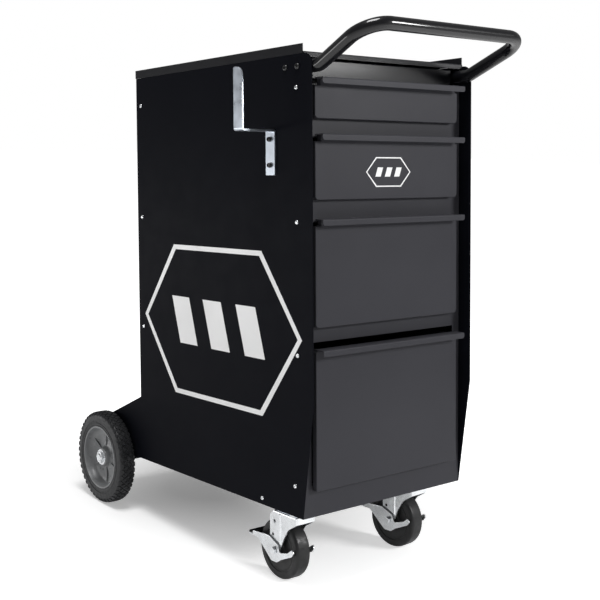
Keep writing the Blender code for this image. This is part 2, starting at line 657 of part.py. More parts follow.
def build():
    cart = put("cart", None, None)
    stand(cart)
    side_panels(cart)
    base_and_back(cart)
    top_tray(cart)
    face_frame(cart)
    top_rail(cart)
    drawers(cart)
    push_handle(cart)
    cable_hook(cart)
    rear_wheels(cart)
    axle_channel(cart)
    caster(cart, "left", -1)
    caster(cart, "right", 1)
    bpy.context.view_layer.update()


clear_scene()
PARTS = collection("welding_cart")
CUTTERS = collection("cutters")
build()
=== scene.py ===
"""Looks of the four-drawer welding cart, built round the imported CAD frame.

Pieces are drawn in the cart's own level frame, in millimetres: X across, Y backwards from the drawer rails,
Z up from the cabinet's bottom edge. CART puts that frame in the world, where the cart leans back on its
wheels.
"""
import json
from math import atan2, ceil, cos, hypot, pi, radians, sin, tan

import bmesh
import bpy
from mathutils import Matrix, Vector


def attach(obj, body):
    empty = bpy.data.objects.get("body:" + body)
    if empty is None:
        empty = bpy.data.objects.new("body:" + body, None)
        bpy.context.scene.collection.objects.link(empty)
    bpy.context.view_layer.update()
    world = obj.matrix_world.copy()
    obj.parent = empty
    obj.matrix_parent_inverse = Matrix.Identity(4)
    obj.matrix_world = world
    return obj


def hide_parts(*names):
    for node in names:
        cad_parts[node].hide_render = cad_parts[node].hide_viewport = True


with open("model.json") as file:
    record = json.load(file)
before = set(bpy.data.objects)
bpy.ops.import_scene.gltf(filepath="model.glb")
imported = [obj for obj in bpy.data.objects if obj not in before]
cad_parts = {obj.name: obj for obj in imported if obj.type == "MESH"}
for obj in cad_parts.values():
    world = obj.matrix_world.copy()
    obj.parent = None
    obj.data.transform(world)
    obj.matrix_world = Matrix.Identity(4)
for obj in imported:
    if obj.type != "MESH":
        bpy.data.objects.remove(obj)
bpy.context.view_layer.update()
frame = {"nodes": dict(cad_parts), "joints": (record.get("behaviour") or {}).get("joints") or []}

MM = 0.001
JOINTS = {joint["name"]: joint for joint in frame["joints"]}
NODES = frame["nodes"]

# ------------------------------------------------------------ the cart's own frame
CASTER_X, CASTER_Y, TRAIL, CASTER_Z = 147.1, 85.0, 33.0, -92.1
REAR_X, REAR_Y, REAR_Z = 222.3, 666.0, -15.2
PANEL = 200.0                    # outer face of each side panel, from the middle
slide_axis = JOINTS["drawer_1_slide"]["axis"]
LEAN = atan2(slide_axis[2], -slide_axis[1])
LEAN_TURN = Matrix.Rotation(-LEAN, 4, "X")
left_swivel = Vector(JOINTS["caster_left_swivel"]["pos_m"])
CART = Matrix.Translation(left_swivel - LEAN_TURN @ (Vector((-CASTER_X, CASTER_Y, 0)) * MM)) @ LEAN_TURN


def at(x, y, z):
    """A place in the cart's frame, in millimetres, as a matrix that puts a piece there."""
    return CART @ Matrix.Translation(Vector((x, y, z)) * MM)


def cart_box(node):
    """A node's lowest and highest corners in the cart's frame, in millimetres."""
    level = CART.inverted()
    points = [(level @ vertex.co) / MM for vertex in NODES[node].data.vertices]
    return [Vector([pick(point[i] for point in points) for i in range(3)]) for pick in (min, max)]


# ------------------------------------------------------------ materials
class Look:
    """A node material under construction."""

    def __init__(self, name, colour, roughness, metallic=0.0, specular=0.5, coat=0.0, coat_roughness=0.1):
        self.material = bpy.data.materials.new(name)
        self.material.use_nodes = True
        self.nodes = self.material.node_tree.nodes
        self.links = self.material.node_tree.links
        self.shader = self.nodes["Principled BSDF"]
        self.place = self.nodes.new("ShaderNodeTexCoord").outputs["Object"]
        self.normal = None
        self.put("Base Color", (*colour, 1))
        self.put("Roughness", roughness)
        self.put("Metallic", metallic)
        self.put("Specular IOR Level", specular)
        self.put("Coat Weight", coat)
        self.put("Coat Roughness", coat_roughness)

    def put(self, socket, value):
        self.shader.inputs[socket].default_value = value

    def noise(self, size_mm, detail=2.0, rough=0.5, stretch=(1, 1, 1)):
        mapping = self.nodes.new("ShaderNodeMapping")
        mapping.inputs["Scale"].default_value = stretch
        self.links.new(self.place, mapping.inputs["Vector"])
        noise = self.nodes.new("ShaderNodeTexNoise")
        noise.inputs["Scale"].default_value = 1000 / size_mm
        noise.inputs["Detail"].default_value = detail
        noise.inputs["Roughness"].default_value = rough
        self.links.new(mapping.outputs["Vector"], noise.inputs["Vector"])
        return noise.outputs["Fac"]

    def ramp(self, fac, low, high, start=0.35, end=0.65):
        """Map a noise from start..end to low..high, numbers or colours."""
        if isinstance(low, (int, float)):
            node = self.nodes.new("ShaderNodeMapRange")
            for name, value in (("From Min", start), ("From Max", end), ("To Min", low), ("To Max", high)):
                node.inputs[name].default_value = value
            self.links.new(fac, node.inputs["Value"])
            return node.outputs["Result"]
        node = self.nodes.new("ShaderNodeValToRGB")
        node.color_ramp.elements[0].position = start
        node.color_ramp.elements[1].position = end
        node.color_ramp.elements[0].color = (*low, 1)
        node.color_ramp.elements[1].color = (*high, 1)
        self.links.new(fac, node.inputs["Fac"])
        return node.outputs["Color"]

    def vary(self, socket, fac, low, high, start=0.35, end=0.65):
        self.links.new(self.ramp(fac, low, high, start, end), self.shader.inputs[socket])

    def bump(self, fac, height_mm, strength=1.0):
        node = self.nodes.new("ShaderNodeBump")
        node.inputs["Distance"].default_value = height_mm * MM
        node.inputs["Strength"].default_value = strength
        self.links.new(fac, node.inputs["Height"])
        if self.normal:
            self.links.new(self.normal, node.inputs["Normal"])
        self.normal = node.outputs["Normal"]
        self.links.new(self.normal, self.shader.inputs["Normal"])
        if self.shader.inputs["Coat Weight"].default_value:
            self.links.new(self.normal, self.shader.inputs["Coat Normal"])


def powder_coat(name, dark, light, rough_low, rough_high, specular, peel=0.03):
    """Baked powder paint: an even colour, slightly cloudy gloss and the fine ripple of orange peel."""
    look = Look(name, light, rough_high, specular=specular)
    look.vary("Base Color", look.noise(180, 3), dark, light)
    look.vary("Roughness", look.noise(45, 4), rough_low, rough_high)
    look.bump(look.noise(1.6, 2), peel)
    return look.material


def zinc_plate(name, base, rough, metal=1.0):
    """Bright zinc over steel: faint clouds in the plate, and slight waves in the steel under it."""
    look = Look(name, base, rough, metallic=metal)
    look.vary("Base Color", look.noise(26, 3), [c * 0.86 for c in base], base)
    look.vary("Roughness", look.noise(18, 4, 0.6), rough * 0.8, rough * 1.25)
    look.bump(look.noise(1.6, 2, 0.5), 0.0008)
    look.bump(look.noise(30, 2), 0.04)
    return look.material


def rubber(name, dark, light, rough, grain=0.04):
    look = Look(name, light, rough, specular=0.35)
    look.vary("Base Color", look.noise(24, 4), dark, light)
    look.vary("Roughness", look.noise(8, 4), rough - 0.12, rough + 0.1)
    look.bump(look.noise(0.9, 3, 0.6), grain)
    return look.material


def gloss_paint(name, base, coat_roughness, coat):
    look = Look(name, base, 0.28, specular=0.1, coat=coat, coat_roughness=coat_roughness)
    look.vary("Roughness", look.noise(60, 2), 0.28, 0.32)
    look.bump(look.noise(2.2, 2), 0.0012)
    return look.material


def moulded_plastic():
    look = Look("grey_plastic", (0.21, 0.215, 0.22), 0.34, specular=0.6)
    look.vary("Base Color", look.noise(30, 3), (0.185, 0.19, 0.195), (0.225, 0.23, 0.235))
    look.vary("Roughness", look.noise(12, 4), 0.26, 0.42)
    look.bump(look.noise(1.4, 2), 0.02)
    return look.material


PANEL_BLACK = powder_coat("panel_black_paint", (0.0046, 0.0050, 0.0074), (0.0052, 0.0056, 0.0082),
                          0.42, 0.48, 0.02)
FRONT_GREY = powder_coat("front_grey_paint", (0.0375, 0.0375, 0.0434), (0.0398, 0.0398, 0.0460),
                         0.38, 0.44, 0.09)
TRAY_BLACK = powder_coat("tray_black_paint", (0.0075, 0.0078, 0.0100), (0.0083, 0.0086, 0.0110),
                         0.30, 0.36, 0.25)
HANDLE_BLACK = gloss_paint("gloss_black_paint", (0.0045, 0.0046, 0.0058), 0.06, 0.8)
RAIL_GLOSS = gloss_paint("gloss_black_rail", (0.0050, 0.0052, 0.0068), 0.16, 0.17)
ZINC = zinc_plate("zinc_plate", (0.62, 0.67, 0.74), 0.34)
ZINC_BRIGHT = zinc_plate("zinc_bright", (0.86, 0.88, 0.90), 0.24, 0.9)
SCREW_BLACK = powder_coat("black_oxide", (0.010, 0.010, 0.011), (0.018, 0.018, 0.019), 0.22, 0.34, 0.6, 0.01)
TYRE = rubber("tyre_rubber", (0.011, 0.0115, 0.013), (0.018, 0.0185, 0.0205), 0.46)
WHEEL_RUBBER = rubber("wheel_rubber", (0.012, 0.012, 0.0125), (0.018, 0.018, 0.019), 0.44, 0.01)
CAP_RUBBER = rubber("pedal_rubber", (0.010, 0.010, 0.010), (0.016, 0.016, 0.016), 0.45)
RIM = moulded_plastic()
GRAPHIC = powder_coat("white_graphic", (0.80, 0.80, 0.80), (0.86, 0.86, 0.86), 0.30, 0.40, 0.5, 0.01)


# ------------------------------------------------------------ shape helpers
def rounded(points, radius, closed=False, step=radians(12)):
    """The outline with its corners turned into arcs. radius is one number, or one for each point."""
    count = len(points)
    radii = radius if isinstance(radius, (list, tuple)) else [radius] * count
    made = []
    for i, point in enumerate(points):
        here = Vector(point)
        if not radii[i] or (not closed and i in (0, count - 1)):
            made.append(tuple(here))
            continue
        before = (Vector(points[i - 1]) - here).normalized()
        after = (Vector(points[(i + 1) % count]) - here).normalized()
        half = before.angle(after) / 2
        centre = here + (before + after).normalized() * (radii[i] / sin(half))
        start = here + before * (radii[i] / tan(half)) - centre
        turn = (pi - 2 * half) * (1 if before.cross(after) < 0 else -1)
        steps = max(2, ceil(abs(turn) / step))
        for k in range(steps + 1):
            made.append(tuple(centre + Matrix.Rotation(turn * k / steps, 2) @ start))
    return made


def circle(a, b, radius, sides=32):
    turns = [2 * pi * k / sides for k in range(sides)]
    return [(a + radius * cos(turn), b + radius * sin(turn)) for turn in turns]


PLANES = {
    "XY": Matrix(((1, 0, 0), (0, 1, 0), (0, 0, 1))),
    "YZ": Matrix(((0, 0, 1), (1, 0, 0), (0, 1, 0))),
    "XZ": Matrix(((1, 0, 0), (0, 0, -1), (0, 1, 0))),
}
NORMAL = {"XY": 2, "YZ": 0, "XZ": 1}


def in_plane(plane, a, b, level):
    point = PLANES[plane] @ Vector((a, b, 0))
    point[NORMAL[plane]] = level
    return point * MM


def weld(mesh, flat=True):
    bm = bmesh.new()
    bm.from_mesh(mesh)
    bmesh.ops.remove_doubles(bm, verts=bm.verts, dist=0.000004)
    if flat:
        bmesh.ops.dissolve_limit(bm, angle_limit=radians(0.4), verts=bm.verts, edges=bm.edges)
    bmesh.ops.recalc_face_normals(bm, faces=bm.faces)
    bm.to_mesh(mesh)
    bm.free()
    return mesh


def from_curve(curve, matrix):
    """A curve's mesh, moved by the matrix, with its seams joined."""
    obj = bpy.data.objects.new("curve", curve)
    bpy.context.scene.collection.objects.link(obj)
    bpy.context.view_layer.update()
    mesh = bpy.data.meshes.new_from_object(obj.evaluated_get(bpy.context.evaluated_depsgraph_get()))
    bpy.data.objects.remove(obj, do_unlink=True)
    bpy.data.curves.remove(curve)
    mesh.transform(matrix)
    return weld(mesh, flat=False)


def plate(outline, plane, low, high, holes=(), edge=0.3):
    """A flat plate between two levels with rounded edges. holes are outlines too."""
    curve = bpy.data.curves.new("plate", "CURVE")
    curve.dimensions = "2D"
    curve.fill_mode = "BOTH"
    curve.extrude = ((high - low) / 2 - edge) * MM
    curve.bevel_depth = edge * MM
    curve.bevel_resolution = 1
    curve.offset = -edge * MM
    for ring in [outline, *holes]:
        spline = curve.splines.new("POLY")
        spline.points.add(len(ring) - 1)
        for point, (a, b) in zip(spline.points, ring):
            point.co = (a * MM, b * MM, 0, 1)
        spline.use_cyclic_u = True
    move = Matrix.Translation(in_plane(plane, 0, 0, (low + high) / 2)) @ PLANES[plane].to_4x4()
    return from_curve(curve, move)


def tube(route, radius, sides=24):
    curve = bpy.data.curves.new("tube", "CURVE")
    curve.dimensions = "3D"
    curve.bevel_depth = radius * MM
    curve.bevel_resolution = sides // 2 - 2
    curve.use_fill_caps = True
    spline = curve.splines.new("POLY")
    spline.points.add(len(route) - 1)
    for point, co in zip(spline.points, route):
        point.co = (*(Vector(co) * MM), 1)
    return from_curve(curve, Matrix.Identity(4))


def lathe(profile, steps=64, ring=True, axis="X"):
    """A turned mesh. The profile is (radius, distance along the axis)."""
    bm = bmesh.new()
    turn = {"X": Matrix.Rotation(pi / 2, 4, "Y"), "Z": Matrix()}[axis]
    rings = []
    for radius, along in profile:
        if radius < 0.001:
            rings.append([bm.verts.new((0, 0, along * MM))] * steps)
        else:
            outline = circle(0, 0, radius, steps)
            rings.append([bm.verts.new((a * MM, b * MM, along * MM)) for a, b in outline])
    pairs = list(zip(rings, rings[1:] + rings[:1])) if ring else list(zip(rings, rings[1:]))
    for low, high in pairs:
        for k in range(steps):
            corners = [low[k], low[(k + 1) % steps], high[(k + 1) % steps], high[k]]
            face = list(dict.fromkeys(corners))
            if len(face) > 2:
                bm.faces.new(face)
    bmesh.ops.recalc_face_normals(bm, faces=bm.faces)
    bm.transform(turn)
    mesh = bpy.data.meshes.new("lathe")
    bm.to_mesh(mesh)
    bm.free()
    return mesh


def folded(path, plane, low, high, thickness, corners=()):
    """A folded sheet: the path carried from low to high and thickened to both sides."""
    bm = bmesh.new()
    rows = [[bm.verts.new(in_plane(plane, a, b, level)) for a, b in path] for level in (low, high)]
    for i in range(len(path) - 1):
        bm.faces.new((rows[0][i], rows[0][i + 1], rows[1][i + 1], rows[1][i]))
    for end, side, radius in corners:
        bmesh.ops.bevel(bm, geom=[rows[side][end]], offset=radius * MM, segments=8, profile=0.5,
                        affect="VERTICES")
    mesh = bpy.data.meshes.new("folded")
    bm.to_mesh(mesh)
    bm.free()
    return thickened(mesh, thickness, 0)


def thickened(mesh, thickness, offset):
    """A sheet given its thickness: offset 0 to both sides, -1 behind its faces."""
    obj = bpy.data.objects.new("thickened", mesh)
    bpy.context.scene.collection.objects.link(obj)
    modifier = obj.modifiers.new("thickness", "SOLIDIFY")
    modifier.thickness = thickness * MM
    modifier.offset = offset
    modifier.use_even_offset = True
    return applied(obj)


def applied(obj):
    """The object's mesh with its modifiers applied; the object itself goes."""
    bpy.context.view_layer.update()
    mesh = bpy.data.meshes.new_from_object(obj.evaluated_get(bpy.context.evaluated_depsgraph_get()))
    bpy.data.objects.remove(obj, do_unlink=True)
    return mesh


def boolean(mesh, operation, *others):
    """The mesh joined with, cut by or kept inside the others."""
    obj = bpy.data.objects.new("boolean", mesh)
    bpy.context.scene.collection.objects.link(obj)
    guides = []
    for other in others:
        guide = bpy.data.objects.new("guide", other)
        bpy.context.scene.collection.objects.link(guide)
        guides.append(guide)
        modifier = obj.modifiers.new("boolean", "BOOLEAN")
        modifier.operation = operation
        modifier.solver = "EXACT"
        modifier.object = guide
    made = applied(obj)
    for guide in guides:
        bpy.data.objects.remove(guide, do_unlink=True)
    return made


def joined(*meshes):
    """Several meshes as one."""
    bm = bmesh.new()
    for mesh in meshes:
        bm.from_mesh(mesh)
    made = bpy.data.meshes.new("joined")
    bm.to_mesh(made)
    bm.free()
    return made


def softened(mesh, width=0.35, angle=38, segments=2):
    """The mesh with its sharp edges rounded."""
    obj = bpy.data.objects.new("softened", weld(mesh))
    bpy.context.scene.collection.objects.link(obj)
    modifier = obj.modifiers.new("edges", "BEVEL")
    modifier.width = width * MM
    modifier.segments = segments
    modifier.limit_method = "ANGLE"
    modifier.angle_limit = radians(angle)
    modifier.miter_outer = "MITER_ARC"
    return applied(obj)


def piece(name, mesh, look, body, matrix=None, replaces=(), angle=40):
    """Show a mesh as a piece that rides on a body. The matrix, or else CART, puts it in the world."""
    mesh.name = name
    if "custom_normal" in mesh.attributes:
        mesh.attributes.remove(mesh.attributes["custom_normal"])
    mesh.transform(CART if matrix is None else matrix)
    obj = bpy.data.objects.new(name, mesh)
    bpy.context.scene.collection.objects.link(obj)
    mesh.materials.clear()
    mesh.materials.append(look)
    mesh.shade_smooth()
    mesh.set_sharp_from_angle(angle=radians(angle))
    normals = obj.modifiers.new("normals", "WEIGHTED_NORMAL")
    normals.weight = 100
    normals.keep_sharp = True
    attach(obj, body)
    for node in replaces:
        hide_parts(node)
    return obj


def restyled(node, look, body, width=0.35):
    """The CAD node's shape with rounded edges, in the node's place."""
    mesh = NODES[node].data.copy()
    return piece(node + "_look", softened(mesh, width), look, body, Matrix.Identity(4), [node])


# ------------------------------------------------------------ cabinet
FRONT_FACE, PULL_FACE, PULL_DROP = -12.5, -33.2, 11.0
FRONT_SHEET, PULL_SHEET = 1.2, 1.5
PAN_FOLD, PULL_FOLD, PULL_CORNER = 1.4, 1.6, 5
PAN_CORNERS = (8.0, 8.0, 8.0, 2.5)                                   # one for each drawer
PAN_RELIEFS = ((13.0, 11.5), (13.0, 11.5), (13.0, 11.5), (3.5, 3.5))


def front_pan(half, bottom, top, back, corner, relief):
    """A pan with soft folded edges, open at the back. relief is the cut-out at each end of the pull."""
    across, down = half - relief[0], top - relief[1]
    outline = [(-half, bottom), (half, bottom), (half, down), (across, down), (across, top), (-across, top),
               (-across, down), (-half, down)]
    outline = rounded(outline, [corner, corner, 1.5, 2.0, 1.5, 1.5, 2.0, 1.5], closed=True)
    bm = bmesh.new()
    face = bm.faces.new([bm.verts.new(in_plane("XZ", x, z, FRONT_FACE)) for x, z in outline])
    rim = list(face.edges)
    grown = bmesh.ops.extrude_edge_only(bm, edges=rim)["geom"]
    moved = [item for item in grown if isinstance(item, bmesh.types.BMVert)]
    bmesh.ops.translate(bm, vec=(0, (back - FRONT_FACE) * MM, 0), verts=moved)
    bmesh.ops.bevel(bm, geom=rim, offset=PAN_FOLD * MM, segments=3, profile=0.5, affect="EDGES")
    bmesh.ops.recalc_face_normals(bm, faces=bm.faces)
    widest = max(bm.faces, key=lambda item: item.calc_area())
    if widest.normal.y > 0:
        bmesh.ops.reverse_faces(bm, faces=bm.faces)
    mesh = bpy.data.meshes.new("front_pan")
    bm.to_mesh(mesh)
    bm.free()
    return thickened(mesh, FRONT_SHEET, -1)


def drawer_front(number):
    node = f"drawer_{number}_front"
    low, high = cart_box(node)
    corner, relief = PAN_CORNERS[number - 1], PAN_RELIEFS[number - 1]
    pan = front_pan(high.x, low.z, high.z - 0.8, high.y, corner, relief)
    edge = PULL_SHEET / 2
    path = rounded([(FRONT_FACE + 1.0, high.z - edge), (PULL_FACE + edge, high.z - edge),
                    (PULL_FACE + edge, high.z - PULL_DROP)], PULL_FOLD, step=radians(15))
    pull = folded(path, "YZ", low.x, high.x, PULL_SHEET, [(-1, 0, PULL_CORNER), (-1, 1, PULL_CORNER)])
    face = joined(pan, softened(pull, 0.3))
    piece(f"drawer_{number}_face", face, FRONT_GREY, f"drawer_{number}", None, [node])


def cabinet():
    for side in ("left", "right"):
        restyled(f"side_panel_{side}", PANEL_BLACK, "cart")
    for node in ("back_panel", "base_pan", "bottle_shelf", "axle_channel"):
        restyled(node, PANEL_BLACK, "cart")
    restyled("top_tray", TRAY_BLACK, "cart")
    restyled("face_frame", FRONT_GREY, "cart")
    restyled("top_rail", RAIL_GLOSS, "cart")
    for number in range(1, 5):
        body = f"drawer_{number}"
        drawer_front(number)
        restyled(f"{body}_box", FRONT_GREY, body)
        for side in ("left", "right"):
            restyled(f"{body}_slide_inner_{side}", ZINC, body, 0.2)
            restyled(f"{body}_slide_outer_{side}", ZINC, "cart", 0.2)


# ------------------------------------------------------------ screws
def hexagon_radius(angle, across):
    return across / 2 / cos((angle % (pi / 3)) - pi / 6)


def cross_radius(angle, reach, width):
    """The outline of a Phillips recess, at an angle."""
    turn = (angle + pi / 4) % (pi / 2) - pi / 4
    if abs(turn) < 0.001:
        return reach
    return min(reach, max(width / abs(sin(turn)) / 2, width / 1.5))


def screw_head(radius, height, drive):
    """A domed head on the YZ plane that stands out along -X, with its recess."""
    steps = 48
    bm = bmesh.new()
    rings = []
    dome = [(0.96, 0.0), (1.0, 0.10), (1.0, 0.35), (0.93, 0.66), (0.78, 0.88), (0.60, 1.0)]
    for share, rise in dome:
        rings.append([(a, b, height * rise) for a, b in circle(0, 0, radius * share, steps)])
    for shrink, depth in ((1.0, 1.0), (0.92, 0.92), (0.80, 0.30)):
        ring = []
        for k in range(steps):
            angle = 2 * pi * k / steps
            if drive == "hex":
                reach = hexagon_radius(angle, radius * 0.85) * shrink
            else:
                reach = cross_radius(angle, radius * 0.50, radius * 0.17) * shrink
            ring.append((reach * cos(angle), reach * sin(angle), height * depth))
        rings.append(ring)
    made = [[bm.verts.new((-z * MM, x * MM, y * MM)) for x, y, z in ring] for ring in rings]
    for low, high in zip(made, made[1:]):
        for k in range(steps):
            bm.faces.new((low[k], low[(k + 1) % steps], high[(k + 1) % steps], high[k]))
    bm.faces.new(made[0])
    bm.faces.new(made[-1])
    bmesh.ops.recalc_face_normals(bm, faces=bm.faces)
    mesh = bpy.data.meshes.new("screw")
    bm.to_mesh(mesh)
    bm.free()
    return mesh


# Screws as (backwards, up) on the side panels, and how far a head stands off the panel
PANEL_SCREWS = ((12.0, 757.7), (12.0, 524.6), (12.0, 290.3), (20.8, 55.9), (117.4, 12.5), (530.6, 757.1),
                (530.6, 523.3), (530.6, 289.9))
HANDLE_SCREWS = (41.4, 8.3)
HOOK_SCREW_Y, HOOK_SCREWS = 82.25, (670.9, 624.8)
HOOK_BAR = 3.8


def screws():
    for side, sign in (("left", -1), ("right", 1)):
        flip = Matrix.Rotation(0 if sign < 0 else pi, 4, "Z")
        for number, (y, z) in enumerate(PANEL_SCREWS, 1):
            place = at(sign * (PANEL + 0.02), y, z) @ flip @ Matrix.Rotation(0.7 * number, 4, "X")
            head = screw_head(3.9, 2.3, "cross")
            piece(f"panel_screw_{side}_{number}", head, ZINC_BRIGHT, "cart", place)
        for number, y in enumerate(HANDLE_SCREWS, 1):
            place = at(sign * (PANEL + 0.3), y, FOOT_Z) @ flip @ Matrix.Rotation(0.5 * number, 4, "X")
            head = screw_head(5.5, 3.2, "hex")
            piece(f"handle_screw_head_{side}_{number}", head, SCREW_BLACK, "cart", place,
                  [f"handle_screw_{side}_{number}"])
    for number, z in enumerate(HOOK_SCREWS, 1):
        place = at(-PANEL - HOOK_BAR, HOOK_SCREW_Y, z) @ Matrix.Rotation(0.4 * number, 4, "X")
        head = screw_head(4.6, 5.8, "hex")
        piece(f"hook_screw_head_{number}", head, SCREW_BLACK, "cart", place,
              [f"hook_screw_{number}"])


# ------------------------------------------------------------ handle and hook
TUBE_RADIUS = 12.0
ARM_X, ARM_SPREAD = 186.2, 9.0
FOOT_END, FOOT_Z, FOOT_BEND, FOOT_RADIUS = 55.0, 793.8, -34.3, 36.0
BAR_Y, BAR_Z, BAR_CORNER = -164.2, 850.5, 47.5


def handle():
    rise = (BAR_Z - FOOT_Z) / (FOOT_BEND - BAR_Y)
    slope = Vector((-1, rise)).normalized()
    reach = (FOOT_BEND - BAR_Y) / -slope.x
    side_view = [(FOOT_END, FOOT_Z), (FOOT_BEND, FOOT_Z), (BAR_Y, BAR_Z)]
    side_view = rounded(side_view, FOOT_RADIUS, step=radians(2))
    corner = [(ARM_X, 0), (ARM_X + ARM_SPREAD, reach), (0, reach)]
    corner = rounded(corner, BAR_CORNER, step=radians(4))[1:-1]
    right = [(ARM_X, y, z) for y, z in side_view[:-1]]
    right += [(x, FOOT_BEND + slope.x * along, FOOT_Z + slope.y * along) for x, along in corner]
    route = [(-x, y, z) for x, y, z in right] + right[::-1]
    bent = tube(route, TUBE_RADIUS, 40)
    piece("handle_tube", bent, HANDLE_BLACK, "cart", None, ["push_handle"])


def hook():
    restyled("cable_hook", ZINC, "cart", 0.5)


# ------------------------------------------------------------ rear wheels
# Turned shapes are (radius, distance along the axle)
TYRE_PROFILE = [(70.0, 17.0), (72.5, 18.2), (76.0, 18.5), (77.0, 17.7), (79.5, 17.7), (80.5, 18.5),
                (87.0, 18.4), (91.5, 17.7), (94.5, 16.9), (97.0, 15.4), (98.6, 13.2), (99.2, 10.6),
                (99.4, 0.0)]
RIM_PROFILE = [(67.9, 18.6), (68.8, 18.5), (69.7, 17.4), (69.7, -16.8), (66.5, -16.8), (63.0, -9.0),
               (22.0, -7.0), (19.0, -17.5), (8.6, -17.5), (8.6, 12.0), (18.0, 12.0), (19.4, 11.4),
               (20.2, 9.8), (21.4, 3.0), (22.8, 0.4), (25.5, -0.8), (32.0, -2.2), (40.0, -3.0),
               (50.0, -2.6), (56.0, -1.4), (59.5, 0.4), (62.0, 3.4), (64.0, 8.0), (65.2, 13.0),
               (65.8, 17.8), (66.6, 18.6)]
RIM_RIBS, RIM_RIB = 6, [(24, -1.3), (60.5, -1.6), (60.5, 1.6), (24, 1.3)]
TREAD_ROWS = (-15.2, -7.6, 0.0, 7.6, 15.2)
BLOCK_LONG, BLOCK_WIDE = 0.43, 6.2        # half a block: share of the pitch, and mm across the tread
BLOCK_TOP, BLOCK_RISE, BLOCK_SINK = 0.72, 2.1, -0.6
NUT_ACROSS_CORNERS, AXLE_HALF, AXLE_TIP = 26.0, 241.5, 1.5


def tread_point(angle, across, rise):
    """A point on or above the tyre's tread; across is measured over the tread from its middle."""
    side = 1 if across >= 0 else -1
    left = abs(across)
    profile = [(out, radius) for radius, out in TYRE_PROFILE[::-1]]
    for (out0, r0), (out1, r1) in zip(profile, profile[1:]):
        run = hypot(out1 - out0, r1 - r0)
        if left <= run or (out1, r1) == profile[-1]:
            share = left / run
            out = out0 + (out1 - out0) * share
            radius = r0 + (r1 - r0) * share
            normal = Vector((r0 - r1, out1 - out0)).normalized()
            out += normal.x * rise
            radius += normal.y * rise
            return Vector((side * out, radius * cos(angle), radius * sin(angle))) * MM
        left -= run


def tread(pitches=46):
    """Lozenge blocks in five staggered rows over the tread and shoulders."""
    bm = bmesh.new()
    pitch = 2 * pi / pitches
    half_a = BLOCK_LONG * pitch
    for number, across in enumerate(TREAD_ROWS):
        shift = 0.5 * (number % 2)
        for k in range(pitches):
            middle = (k + shift) * pitch
            low, high = [], []
            for da, dc in ((-1, 0), (0, -1), (1, 0), (0, 1)):
                for ring, share, rise in ((low, 1, BLOCK_SINK), (high, BLOCK_TOP, BLOCK_RISE)):
                    angle = middle + da * half_a * share
                    ring.append(bm.verts.new(tread_point(angle, across + dc * BLOCK_WIDE * share, rise)))
            bm.faces.new(high)
            bm.faces.new(low[::-1])
            for i in range(4):
                bm.faces.new((low[i], low[(i + 1) % 4], high[(i + 1) % 4], high[i]))
    bmesh.ops.recalc_face_normals(bm, faces=bm.faces)
    mesh = bpy.data.meshes.new("tread")
    bm.to_mesh(mesh)
    bm.free()
    return mesh


def rear_wheels():
    mirrored = [(radius, -out) for radius, out in TYRE_PROFILE[::-1]]
    tyre = joined(lathe(TYRE_PROFILE + mirrored[1:], 96), tread())
    for side, sign in (("left", -1), ("right", 1)):
        body = f"rear_wheel_{side}"
        place = at(sign * REAR_X, REAR_Y, REAR_Z) @ Matrix.Rotation(0 if sign > 0 else pi, 4, "Z")
        piece(f"tread_tyre_{side}", tyre.copy(), TYRE, body, place, [f"rear_tyre_{side}"], 32)
        ribs = []
        for k in range(RIM_RIBS):
            rib = plate(RIM_RIB, "XY", -3.5, 0.9, edge=0.5)
            rib.transform(Matrix.Rotation(2 * pi * k / RIM_RIBS, 4, "Z"))
            rib.transform(Matrix.Rotation(pi / 2, 4, "Y"))
            ribs.append(rib)
        rim = joined(lathe(RIM_PROFILE, 96), *ribs)
        piece(f"dished_rim_{side}", rim, RIM, body, place, [f"rear_rim_{side}"], 50)
        nut = plate(circle(0, 0, NUT_ACROSS_CORNERS / 2, 6), "YZ", 13.4, 18.2, [circle(0, 0, 8.4)], edge=0.7)
        washer = lathe([(8.4, 12.1), (8.4, 13.3), (17.2, 13.3), (17.6, 12.9), (17.6, 12.1)], 48)
        piece(f"nut_and_washer_{side}", joined(nut, washer), ZINC_BRIGHT, "cart", place,
              [f"axle_nut_{side}"])
    half = [(7.9, AXLE_HALF - AXLE_TIP), (6.4, AXLE_HALF), (0, AXLE_HALF)]
    axle = lathe([(radius, -along) for radius, along in half[::-1]] + half, 48, ring=False)
    piece("axle_rod", axle, ZINC_BRIGHT, "cart", at(0, REAR_Y, REAR_Z), ["rear_axle"])


# ------------------------------------------------------------ casters
LEG_OUTLINE = ([(-26, -14.0), (34, -14.0), (58, -35), (51, -54), (50, -72), (46.5, -107), (20.5, -107),
                (20.5, -91), (9, -66), (-4, -46), (-26, -33)],
               [2, 2, 4, 8, 8, 12.4, 12.4, 6, 20, 20, 2])
LEVER_OUTLINE = ([(100, -71), (50, -68), (22, -80), (17, -94), (-6, -88), (-18, -79), (-24, -83), (-18, -92),
                  (14, -106), (26, -114), (43, -114), (84, -80), (100, -80)],
                 [3, 8, 5, 4, 8, 3, 3, 6, 8, 8, 8, 6, 2])
WHEEL_PROFILE = [(50.4, 16.0), (53.0, 15.6), (55.2, 14.4), (56.5, 12.6), (57.15, 9.8), (57.15, -9.8),
                 (56.5, -12.6), (55.2, -14.4), (53.0, -15.6), (50.4, -16.0), (44.0, -16.0), (43.0, -15.4),
                 (42.4, -14.2), (40.2, -14.0), (39.4, -14.6), (38.0, -14.8), (26.0, -13.2), (23.0, -14.0),
                 (21.5, -18.3), (4.5, -18.3), (4.5, 18.3), (21.5, 18.3), (23.0, 14.0), (26.0, 13.2),
                 (38.0, 14.8), (39.4, 14.6), (40.2, 14.0), (42.4, 14.2), (43.0, 15.4), (44.0, 16.0)]
